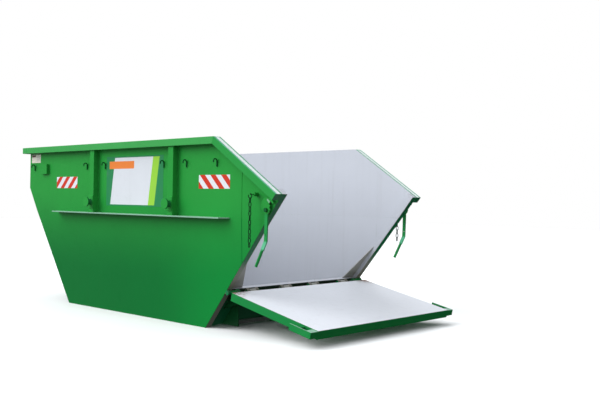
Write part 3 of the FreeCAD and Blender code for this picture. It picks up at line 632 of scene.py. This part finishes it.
# A geometry-node tree with named sizes as its inputs
class Tree:
    def __init__(self, name, sizes):
        self.group = bpy.data.node_groups.new(name, "GeometryNodeTree")
        face = self.group.interface
        face.new_socket("Geometry", in_out="INPUT", socket_type="NodeSocketGeometry")
        self.sizes = sizes
        self.identifiers = {}
        for label, value in sizes.items():
            kind = "NodeSocketInt" if isinstance(value, int) else "NodeSocketFloat"
            self.identifiers[label] = face.new_socket(label, in_out="INPUT", socket_type=kind).identifier
        face.new_socket("Geometry", in_out="OUTPUT", socket_type="NodeSocketGeometry")
        self.start = self.group.nodes.new("NodeGroupInput")
        self.end = self.group.nodes.new("NodeGroupOutput")

    def given(self, label):
        return self.start.outputs[label]

    def node(self, kind, settings, inputs, output=0):
        made = self.group.nodes.new(kind)
        for key, value in settings.items():
            setattr(made, key, value)
        for key, value in inputs.items():
            if isinstance(value, bpy.types.NodeSocket):
                self.group.links.new(value, made.inputs[key])
            else:
                made.inputs[key].default_value = value
        return made.outputs[output]

    def number(self, operation, first, second):
        return self.node("ShaderNodeMath", {"operation": operation}, {0: first, 1: second})

    def random(self, low, high, seed):
        return self.node("FunctionNodeRandomValue", {"data_type": "FLOAT"}, {2: low, 3: high, 8: seed}, 1)

    def tube(self, path, radius, sides, scale=1.0):
        ring = self.node("GeometryNodeCurvePrimitiveCircle", {}, {0: sides, 4: radius})
        return self.node("GeometryNodeCurveToMesh", {}, {0: path, 1: ring, 2: scale, 3: True})

    def finish(self, geometry, paint):
        smooth = self.node("GeometryNodeSetShadeSmooth", {}, {0: geometry, 2: True})
        real = self.node("GeometryNodeRealizeInstances", {}, {0: smooth})
        painted = self.node("GeometryNodeSetMaterial", {}, {0: real, 2: paint})
        self.group.links.new(painted, self.end.inputs[0])
        return self


def grow(name, mesh, tree, body, replaced=()):
    # runs a tree on a mesh of places and keeps the result as one plain mesh on a body
    piece = addObject(name + "_places", mesh)
    modifier = piece.modifiers.new("grow", "NODES")
    modifier.node_group = tree.group
    for label, value in tree.sizes.items():
        modifier[tree.identifiers[label]] = value
    piece = settle(piece, name)
    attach(piece, body)
    if replaced:
        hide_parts(*replaced)


# Large faces stay flat and the narrow ones on the rounded edges blend between them
def evenShading(mesh):
    leaning = [Vector() for vert in mesh.vertices]
    for face in mesh.polygons:
        for index in face.vertices:
            leaning[index] += face.normal * face.area ** 2
    mesh.normals_split_custom_set_from_vertices([tuple(normal.normalized()) for normal in leaning])


# A CAD node with its edges rounded, its faces sorted into paints by the rule
def roundedNode(node, body, slot, paints, edge, rule=None, segments=2):
    mesh = mergedCopy(node)
    for paint in paints:
        mesh.materials.append(paint)
    for face in mesh.polygons:
        face.use_smooth = True
        face.material_index = rule(face.center, face.normal) if rule else 0
    piece = addObject(node + "_work", mesh)
    bevel = piece.modifiers.new("roundEdges", "BEVEL")
    bevel.width = edge
    bevel.segments = segments
    bevel.limit_method = "ANGLE"
    bevel.angle_limit = meshSetup["edgeAngle"]
    bevel.use_clamp_overlap = True
    piece = settle(piece, node + "_finished")
    low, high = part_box(node)
    for vert in piece.data.vertices:   # the rounding never stands out of the node's own box
        vert.co = [min(max(value, least), most) for value, least, most in zip(vert.co, low, high)]
    evenShading(piece.data)
    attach(piece, body)
    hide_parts(node)


def facesIn(centre, normal):
    # side plates: the face that looks to the middle of the skip is pale
    return 1 if normal.y * centre.y < -0.3 * abs(centre.y) else 0


def facesUpIn(centre, normal):
    # end plates: the face that looks up or into the skip is pale
    return 1 if normal.z > 0.3 or normal.x * (1 if centre.x < 0 else -1) > 0.5 else 0


def postFaces(centre, normal):
    # posts: pale towards the middle of the skip and on top, worn green in front; the green outside and in
    # front is darkened as painted shade
    if facesIn(centre, normal) or normal.z > 0.5:
        return 1
    return 2 if normal.x > 0.5 else 0


def knuckleFaces(centre, normal):
    # the outermost knuckles have kept their green
    return 0 if abs(centre.y) > 0.75 else 1


def rimFaces(centre, normal):
    # sloping rims: painted reflection on top, painted shade on the cut end
    if normal.z > 0.6:
        return 1
    return 2 if normal.x > 0.5 else 0


def ledgeFaces(centre, normal):
    # the top and the edges are pale, worn and with a painted sheen, the underside stays green
    return 0 if normal.z < -0.5 else 1


def pinFaces(centre, normal):
    # the collar's round face is as bright as the wall; the rest of the pin is darker, painted shade
    return 1 if abs(centre.y) > 1.0735 else 0


def betweenCorners(along, up, low, high):
    # 1 between the two corners, 0 elsewhere
    return (along > low[0]) * (along < high[0]) * (up > low[1]) * (up < high[1])


# Blank label: cream film with a brown strip at its upper left and an empty grey field
labelSetup = {
    "corner": (-1.9145, 1.530),
    "cream": (0.74, 0.72, 0.62),
    "brown": (0.10, 0.040, 0.025),
    "grey": (0.42, 0.43, 0.42),
    "grime": (0.27, 0.29, 0.26),
    "strip": ((0.008, 0.066), (0.085, 0.088)),
    "field": ((0.105, 0.014), (0.185, 0.078)),
}


def labelFilm(setup):
    paint = Paint("labelFilm")
    along, up = paint.x - setup["corner"][0], paint.z - setup["corner"][1]
    film = paint.mix(betweenCorners(along, up, *setup["strip"]), setup["cream"], setup["brown"])
    film = paint.mix(betweenCorners(along, up, *setup["field"]) * 0.5, film, setup["grey"])
    grime = paint.noise(30.0, 5, 0.65).between(0.45, 0.8) * 0.30
    film = paint.mix(grime, film, setup["grime"])
    return paint.finish(film, 0.35 + grime, paint.noise(160.0, 2), 0.0003)


# Plates, rims and posts of the body
bodyPlates = {
    # node: (slot, paints, edge radius, rule)
    "upper_side_plate_right": ("side_paint", (wallGreen, insideGrey), 0.0004, facesIn),
    "upper_side_plate_left": ("side_paint", (wallGreen, insideGrey), 0.0004, facesIn),
    "upper_nose_plates": ("side_paint", (wallGreen, insideGrey), 0.0004, facesIn),
    "lower_side_plate_right": ("lower_paint", (wallGreen, insideGrey), 0.0004, facesIn),
    "lower_side_plate_left": ("lower_paint", (wallGreen, insideGrey), 0.0004, facesIn),
    "lower_nose_plates": ("lower_paint", (wallGreen, insideGrey), 0.0004, facesIn),
    "rear_upper_plate": ("side_paint", (wallGreen, insideGrey), 0.0010, facesUpIn),
    "rear_lower_plate": ("lower_paint", (wallGreen, insideGrey), 0.0010, facesUpIn),
    "front_lower_plate": ("end_paint", (endGreen, insideGrey), 0.0010, facesUpIn),
    "floor_plate": ("floor_steel", (runnerSteel, insideGrey), 0.0010, facesUpIn),
    "floor_runners": ("floor_steel", (runnerSteel,), 0.0060, None),
    "lower_end_posts": ("end_paint", (endGreen, insideGrey, postGreen), 0.0050, postFaces),
    "upper_end_posts": ("end_paint", (endGreen, insideGrey, postGreen), 0.0050, postFaces),
    "hinge_beam": ("end_paint", (sootyGreen, insideGrey), 0.0020, facesUpIn),
    "threshold_plate": ("end_paint", (sootyGreen, insideGrey), 0.0030, facesUpIn),
    "corner_gussets": ("end_paint", (gussetGrey,), 0.0015, None),
    "flap_stops": ("end_paint", (fittingGreen,), 0.0015, None),
    "side_rim_right": ("rim_paint", (rimGreen,), 0.0040, None),
    "side_rim_left": ("rim_paint", (rimGreen,), 0.0040, None),
    "sloped_rim_right": ("rim_paint", (slopeGreen, rimTopGreen, endGreen), 0.0040, rimFaces),
    "sloped_rim_left": ("rim_paint", (slopeGreen, rimTopGreen, endGreen), 0.0040, rimFaces),
    "rear_rim": ("rim_paint", (rimGreen,), 0.0040, None),
    "side_ribs_right": ("side_paint", (sideGreen,), 0.0060, None),
    "side_ribs_left": ("side_paint", (sideGreen,), 0.0060, None),
    "stacking_ledge_right": ("lower_paint", (lowerGreen, wornEdge), 0.0015, ledgeFaces),
    "stacking_ledge_left": ("lower_paint", (lowerGreen, wornEdge), 0.0015, ledgeFaces),
    "lifting_pin_pads": ("pad_paint", (sideGreen,), 0.0020, None),
    "lifting_pins": ("pin_steel", (pinGreen, sideGreen), 0.0020, pinFaces),
    "flag_pockets": ("side_paint", (sideGreen,), 0.0008, None),
    "label_plates": ("label_film", (labelFilm(labelSetup),), 0.0003, None),
    "rear_tipping_cheeks": ("tipping_steel", (fittingGreen,), 0.0020, None),
    "front_tipping_cheeks": ("tipping_steel", (fittingGreen,), 0.0020, None),
    "rear_tipping_bars": ("tipping_steel", (turnedSteel,), 0.0030, None),
    "front_tipping_bars": ("tipping_steel", (turnedSteel,), 0.0030, None),
    "fixed_hinge_knuckles": ("end_paint", (endGreen, knuckleGrey), 0.0010, knuckleFaces),
    "hinge_pins": ("pin_steel", (endGreen,), 0.0010, None),
    "lock_spacers": ("bolt_steel", (fittingGreen,), 0.0010, None),
    "lock_pivot_bolts": ("bolt_steel", (fittingGreen,), 0.0015, None),
    "chain_pegs": ("bolt_steel", (sideGreen,), 0.0010, None),
}
for node, (slot, paints, edge, rule) in bodyPlates.items():
    roundedNode(node, "skip", slot, paints, edge, rule)
print("body plates, rims and fittings done")


# Hazard markers: one film for the side's rear, one for its front and one for the rear end
def markerRule(centre, normal):
    if centre.x < -1.7:
        return 2
    return 0 if centre.x < 0 else 1


markerFilms = tuple(markerFilm(name) for name in markerSetup["films"])
roundedNode("hazard_markers", "skip", "hazard_film", markerFilms, 0.0003, markerRule, 1)


# Sign panel: white field on green film, a lime band and an orange bar
panelSetup = {
    "green": (0.020, 0.230, 0.080),
    "white": (0.66, 0.69, 0.74),
    "lime": (0.30, 0.62, 0.05),
    "orange": (0.80, 0.22, 0.04),
    "grime": (0.30, 0.31, 0.28),
    "lean": 0.16,                                # field and band lean by this over their height
    "field": ((-0.33, 1.083), (0.38, 1.551)),
    "band": ((0.30, 1.083), (0.40, 1.551)),
    "bar": ((-0.35, 1.44), (0.07, 1.515)),
}


def panelFilm(setup):
    paint = Paint("panelFilm")
    leaning = paint.x - (paint.z - setup["field"][0][1]) * setup["lean"]
    film = paint.mix(betweenCorners(leaning, paint.z, *setup["field"]), setup["green"], setup["white"])
    film = paint.mix(betweenCorners(leaning, paint.z, *setup["band"]), film, setup["lime"])
    film = paint.mix(betweenCorners(paint.x, paint.z, *setup["bar"]), film, setup["orange"])
    film = paint.shade(film, 0.95 + paint.noise(3.0) * 0.08)
    grime = paint.noise(7.0, 5, 0.65).between(0.52, 0.85) * 0.14
    streaks = paint.noise(1.0, 4, 0.6, paint.stretched((20, 20, 0.6))).between(0.55, 0.8) * 0.10
    film = paint.mix((grime + streaks).clamped(), film, setup["grime"])
    return paint.finish(film, 0.42 + grime, paint.noise(90.0, 3), 0.0003, shine=0.3)


roundedNode("sign_panels", "skip", "panel_film", (panelFilm(panelSetup),), 0.0003, None, 1)
print("markers and panels done")


# Drop flap
def topOfFlap(centre, normal):
    return 1 if normal.z > 0.9 else 0


flapParts = {
    "flap_plate": ("flap_sheet", (flapGreen, flapSheet), 0.0012, topOfFlap),
    "flap_side_rails": ("flap_paint", (flapGreen,), 0.0040, None),
    "flap_outer_rail": ("flap_paint", (flapGreen,), 0.0040, None),
    "flap_hinge_rail": ("flap_paint", (flapGreen,), 0.0040, None),
    "flap_stiffeners": ("flap_paint", (flapGreen,), 0.0040, None),
    "flap_hinge_knuckles": ("flap_paint", (flapGreen, gussetGrey), 0.0010, knuckleFaces),
    # the keeper boxes' tops are pale, worn and with a painted sheen
    "flap_keeper_boxes": ("flap_paint", (flapGreen, wornEdge), 0.0008, topOfFlap),
    "flap_keeper_pins": ("pin_steel", (flapGreen,), 0.0010, None),
}
for node, (slot, paints, edge, rule) in flapParts.items():
    roundedNode(node, "flap", slot, paints, edge, rule)
print("flap done")


# Locks, the same paint on both sides
lockParts = {
    "lock_claw_": ("claw_steel", clawGreen),
    "lock_lever_": ("lever_paint", leverGreen),
    "lock_handle_": ("lever_paint", leverGreen),
}
for side in ("right", "left"):
    for part, (slot, paint) in lockParts.items():
        roundedNode(part + side, "lever_" + side, slot, (paint,), 0.0020)
print("locks done")


# Safety chains: a ring on the peg and welded links, every second one turned, none quite alike
chainSetup = {
    "Links": 11,
    "Pitch": 0.0373,
    "Wire radius": 0.0040,
    "Link width": 0.0280,
    "Link length": 0.0456,
    "Ring radius": 0.0195,
    "Ring wire": 0.0040,
    "Turn": 0.30,            # radians, of the whole chain about the upright
    "Turn scatter": 0.16,
    "Seed": 7,
}


def chainTree(setup, paint):
    tree = Tree("chainLinks", setup)
    given = tree.given
    # a link lies in the XZ plane, as a rounded oblong of wire
    width = tree.number("SUBTRACT", given("Link width"), tree.number("MULTIPLY", given("Wire radius"), 2.0))
    length = tree.number("SUBTRACT", given("Link length"), tree.number("MULTIPLY", given("Wire radius"), 2.0))
    oblong = tree.node("GeometryNodeCurvePrimitiveQuadrilateral", {}, {0: width, 1: length})
    corner = tree.number("MULTIPLY", width, 0.499)     # just under half, so that two corners never meet
    oblong = tree.node("GeometryNodeFilletCurve", {"mode": "POLY"}, {0: oblong, 1: 5, 2: corner})
    link = tree.tube(oblong, given("Wire radius"), 8)
    link = tree.node("GeometryNodeTransform", {}, {0: link, 2: (math.pi / 2, 0, 0)})
    drop = tree.node("ShaderNodeCombineXYZ", {}, {2: tree.number("MULTIPLY", given("Pitch"), -1.0)})
    line = tree.node("GeometryNodeMeshLine", {}, {0: given("Links"), 3: drop})
    odd = tree.number("MODULO", tree.node("GeometryNodeInputIndex", {}, {}), 2.0)
    least = tree.number("MULTIPLY", given("Turn scatter"), -1.0)
    scatter = tree.random(least, given("Turn scatter"), given("Seed"))
    quarter = tree.number("MULTIPLY", tree.number("SUBTRACT", 1.0, odd), math.pi / 2)
    turned = tree.number("ADD", tree.number("ADD", quarter, given("Turn")), scatter)
    turn = tree.node("ShaderNodeCombineXYZ", {}, {2: turned})
    turn = tree.node("FunctionNodeEulerToRotation", {}, {0: turn})
    hung = tree.node("GeometryNodeInstanceOnPoints", {}, {0: line, 2: link, 5: turn})
    # the ring above them
    circle = tree.node("GeometryNodeCurvePrimitiveCircle", {}, {0: 32, 4: given("Ring radius")})
    ring = tree.tube(circle, given("Ring wire"), 10)
    rise = tree.number("ADD", given("Ring radius"), tree.number("MULTIPLY", given("Link length"), 0.5))
    rise = tree.number("SUBTRACT", rise, tree.number("ADD", given("Wire radius"), given("Ring wire")))
    lift = tree.node("ShaderNodeCombineXYZ", {}, {2: rise})
    ring = tree.node("GeometryNodeTransform", {}, {0: ring, 1: lift, 2: (math.pi / 2, 0, 0)})
    whole = tree.node("GeometryNodeJoinGeometry", {}, {0: hung})
    tree.group.links.new(ring, whole.node.inputs[0])
    # all of it stands at the place that the mesh brings
    placed = tree.node("GeometryNodeInstanceOnPoints", {}, {0: given("Geometry"), 2: whole})
    return tree.finish(placed, paint)


linksTree = chainTree(chainSetup, chainGreen)
for side in ("right", "left"):
    low, high = (Vector(corner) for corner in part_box("safety_chain_" + side))
    middle = (low + high) / 2
    firstLink = low.z + chainSetup["Link length"] / 2 + (chainSetup["Links"] - 1) * chainSetup["Pitch"]
    place = bpy.data.meshes.new("chainPlace")
    place.from_pydata([(middle.x, middle.y, firstLink)], [], [])
    grow("chain_links_" + side, place, linksTree, "chain_" + side, ("safety_chain_" + side,))
print("chains done")


# Net hooks of bent rod, one tree for all fifteen
hookSetup = {
    "Rod radius": 0.006,
    "Stem": 0.048,
    "Bend radius": 0.020,
    "Lip": 0.012,
    "Rod sides": 12,
}


def hookTree(setup, paint):
    tree = Tree("netHooks", setup)
    given = tree.given
    top = tree.number("ADD", given("Stem"), given("Bend radius"))
    across = tree.number("MULTIPLY", given("Bend radius"), 2.0)
    lipFoot = tree.number("SUBTRACT", given("Stem"), given("Lip"))
    corners = [
        tree.node("ShaderNodeCombineXYZ", {}, {}),
        tree.node("ShaderNodeCombineXYZ", {}, {2: top}),
        tree.node("ShaderNodeCombineXYZ", {}, {0: across, 2: top}),
        tree.node("ShaderNodeCombineXYZ", {}, {0: across, 2: lipFoot}),
    ]
    path = tree.node("GeometryNodeCurvePrimitiveQuadrilateral", {"mode": "POINTS"}, {})
    for number, corner in enumerate(corners):
        tree.group.links.new(corner, path.node.inputs["Point " + str(number + 1)])
    path = tree.node("GeometryNodeSetSplineCyclic", {}, {0: path, 2: False})
    bend = tree.number("MULTIPLY", given("Bend radius"), 0.999)        # the two bends never meet
    path = tree.node("GeometryNodeFilletCurve", {"mode": "POLY"}, {0: path, 1: 10, 2: bend})
    hook = tree.tube(path, given("Rod radius"), given("Rod sides"))
    turn = tree.node("GeometryNodeInputNamedAttribute", {"data_type": "FLOAT"}, {"Name": "facing"})
    turn = tree.node("ShaderNodeCombineXYZ", {}, {2: turn})
    turn = tree.node("FunctionNodeEulerToRotation", {}, {0: turn})
    placed = tree.node("GeometryNodeInstanceOnPoints", {}, {0: given("Geometry"), 2: hook, 5: turn})
    return tree.finish(placed, paint)


rod = hookSetup["Rod radius"]
hookPlaces = []
for low, high in solidBoxes("net_hooks"):
    middle = (low + high) / 2
    if high.x - low.x > high.y - low.y:
        hookPlaces.append(((high.x - rod, middle.y, low.z), math.pi))     # on the rear end
    elif middle.y < 0:
        hookPlaces.append(((middle.x, high.y - rod, low.z), -math.pi / 2))
    else:
        hookPlaces.append(((middle.x, low.y + rod, low.z), math.pi / 2))
hookMesh = bpy.data.meshes.new("hookPlaces")
hookMesh.from_pydata([place for place, facing in hookPlaces], [], [])
facings = hookMesh.attributes.new("facing", "FLOAT", "POINT")
for number, (place, facing) in enumerate(hookPlaces):
    facings.data[number].value = facing
grow("net_hook_rods", hookMesh, hookTree(hookSetup, fittingGreen), "skip", ("net_hooks",))
print("net hooks done:", len(hookPlaces))


# Weld beads, run along lists of corners
weldSetup = {"Bead radius": 0.0030, "Step": 0.006, "Ripple share": 0.22, "Sides": 6, "Seed": 3}
beadReach = weldSetup["Bead radius"] * (1 + weldSetup["Ripple share"])     # no bead lies lower than this
pinRingRadius = 0.032              # of the bead about the root of a lifting pin


def weldTree(setup, paint):
    tree = Tree("weldBead_" + paint.name, setup)
    given = tree.given
    path = tree.node("GeometryNodeMeshToCurve", {}, {0: given("Geometry")})
    path = tree.node("GeometryNodeResampleCurve", {"mode": "LENGTH"}, {0: path, "Length": given("Step")})
    low = tree.number("SUBTRACT", 1.0, given("Ripple share"))
    high = tree.number("ADD", 1.0, given("Ripple share"))
    ripple = tree.random(low, high, given("Seed"))
    return tree.finish(tree.tube(path, given("Bead radius"), given("Sides"), ripple), paint)


def weldRun(name, runs, paint, body):
    # each run is a list of corners joined in order
    verts = []
    edges = []
    for run in runs:
        first = len(verts)
        verts += [(x, y, max(z, beadReach)) for x, y, z in run]
        edges += [(first + step, first + step + 1) for step in range(len(run) - 1)]
    mesh = bpy.data.meshes.new(name + "_run")
    mesh.from_pydata(verts, edges, [])
    grow(name, mesh, weldTree(weldSetup, paint), body)


def ringOf(x, y, z, radius, steps=24):
    # a closed run in the plane of a side wall
    turns = [2 * math.pi * step / steps for step in range(steps + 1)]
    return [(x + radius * math.cos(turn), y, z + radius * math.sin(turn)) for turn in turns]


def outerWelds():
    upper, lower = [], []
    wall = abs(furthest("upper_side_plate_right", (0, -1, 0)).y)
    for side in (-1, 1):
        hand = "right" if side < 0 else "left"
        face = side * wall
        upper.append([furthest("upper_nose_plates", (-10, side, reach)) for reach in (-1, 1)])
        lower.append([furthest("lower_nose_plates", (-10, side, reach)) for reach in (-1, 1)])
        low, high = (Vector(corner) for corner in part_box("stacking_ledge_" + hand))
        lower.append([(low.x, face, low.z), (high.x, face, low.z)])
        upper.append([(low.x, face, high.z), (high.x, face, high.z)])
        for low, high in solidBoxes("side_ribs_" + hand):
            upper += [[(x, face, low.z), (x, face, high.z)] for x in (low.x, high.x)]
            front = low.y if side < 0 else high.y
            foot = [(low.x, face), (low.x, front), (high.x, front), (high.x, face)]
            upper.append([(x, y, low.z) for x, y in foot])
        mitre = furthest("sloped_rim_" + hand, (-10, -side, 0))
        upper.append([(furthest("side_rim_" + hand, (-1, 0, -1)).x, face, mitre.z), (mitre.x, face, mitre.z),
                      furthest("sloped_rim_" + hand, (0, -side, -10))])
        bolt = [box for box in solidBoxes("lock_spacers") if box[0].y * side > 0][0]
        middle = (bolt[0] + bolt[1]) / 2
        upper.append(ringOf(middle.x, face, middle.z, (bolt[1].x - bolt[0].x) / 2))
    for node in ("lifting_pin_pads", "flag_pockets"):
        for low, high in solidBoxes(node):
            face = low.y if low.y > 0 else high.y
            rim = [(low.x, high.z), (low.x, low.z), (high.x, low.z), (high.x, high.z)]
            upper.append([(x, face, z) for x, z in rim])
            if node == "lifting_pin_pads":
                upper.append([(low.x, face, high.z), (high.x, face, high.z)])
                root = high.y if low.y > 0 else low.y
                middle = (low + high) / 2
                upper.append(ringOf(middle.x, root, middle.z, pinRingRadius))
    top, foot = furthest("rear_lower_plate", (-1, 0, 1)), furthest("rear_lower_plate", (0, 0, -1))
    slope = (top.x - foot.x) / (top.z - foot.z)
    for low, high in solidBoxes("rear_tipping_cheeks"):
        for y in (low.y, high.y):
            lower.append([(foot.x + slope * z, y, z) for z in (low.z, high.z)])
    low, high = (Vector(corner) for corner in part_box("rear_upper_plate"))
    edge = furthest("rear_upper_plate", (0, 1, 0)).y
    for side in (-1, 1):
        upper.append([(low.x, side * edge, high.z), (low.x, side * edge, low.z)])
        directions = ((-1, side * 0.1, 1), (0, side * 0.1, -1))
        lower.append([furthest("rear_lower_plate", direction) for direction in directions])
    upper.append([(low.x, -edge, low.z), (low.x, edge, low.z)])
    weldRun("upper_weld_beads", upper, sideGreen, "skip")
    weldRun("lower_weld_beads", lower, lowerGreen, "skip")


outerWelds()
print("weld beads done")


# Floor's own plain finish
floorPaint = Paint("studioFloorFinish")
floorColour = floorPaint.shade(studioSetup["floorColour"], 0.985 + floorPaint.noise(0.6, 2) * 0.03)
studioFloor.data.materials.append(floorPaint.finish(floorColour, 0.9, floorPaint.noise(40.0, 2), 0.0004))
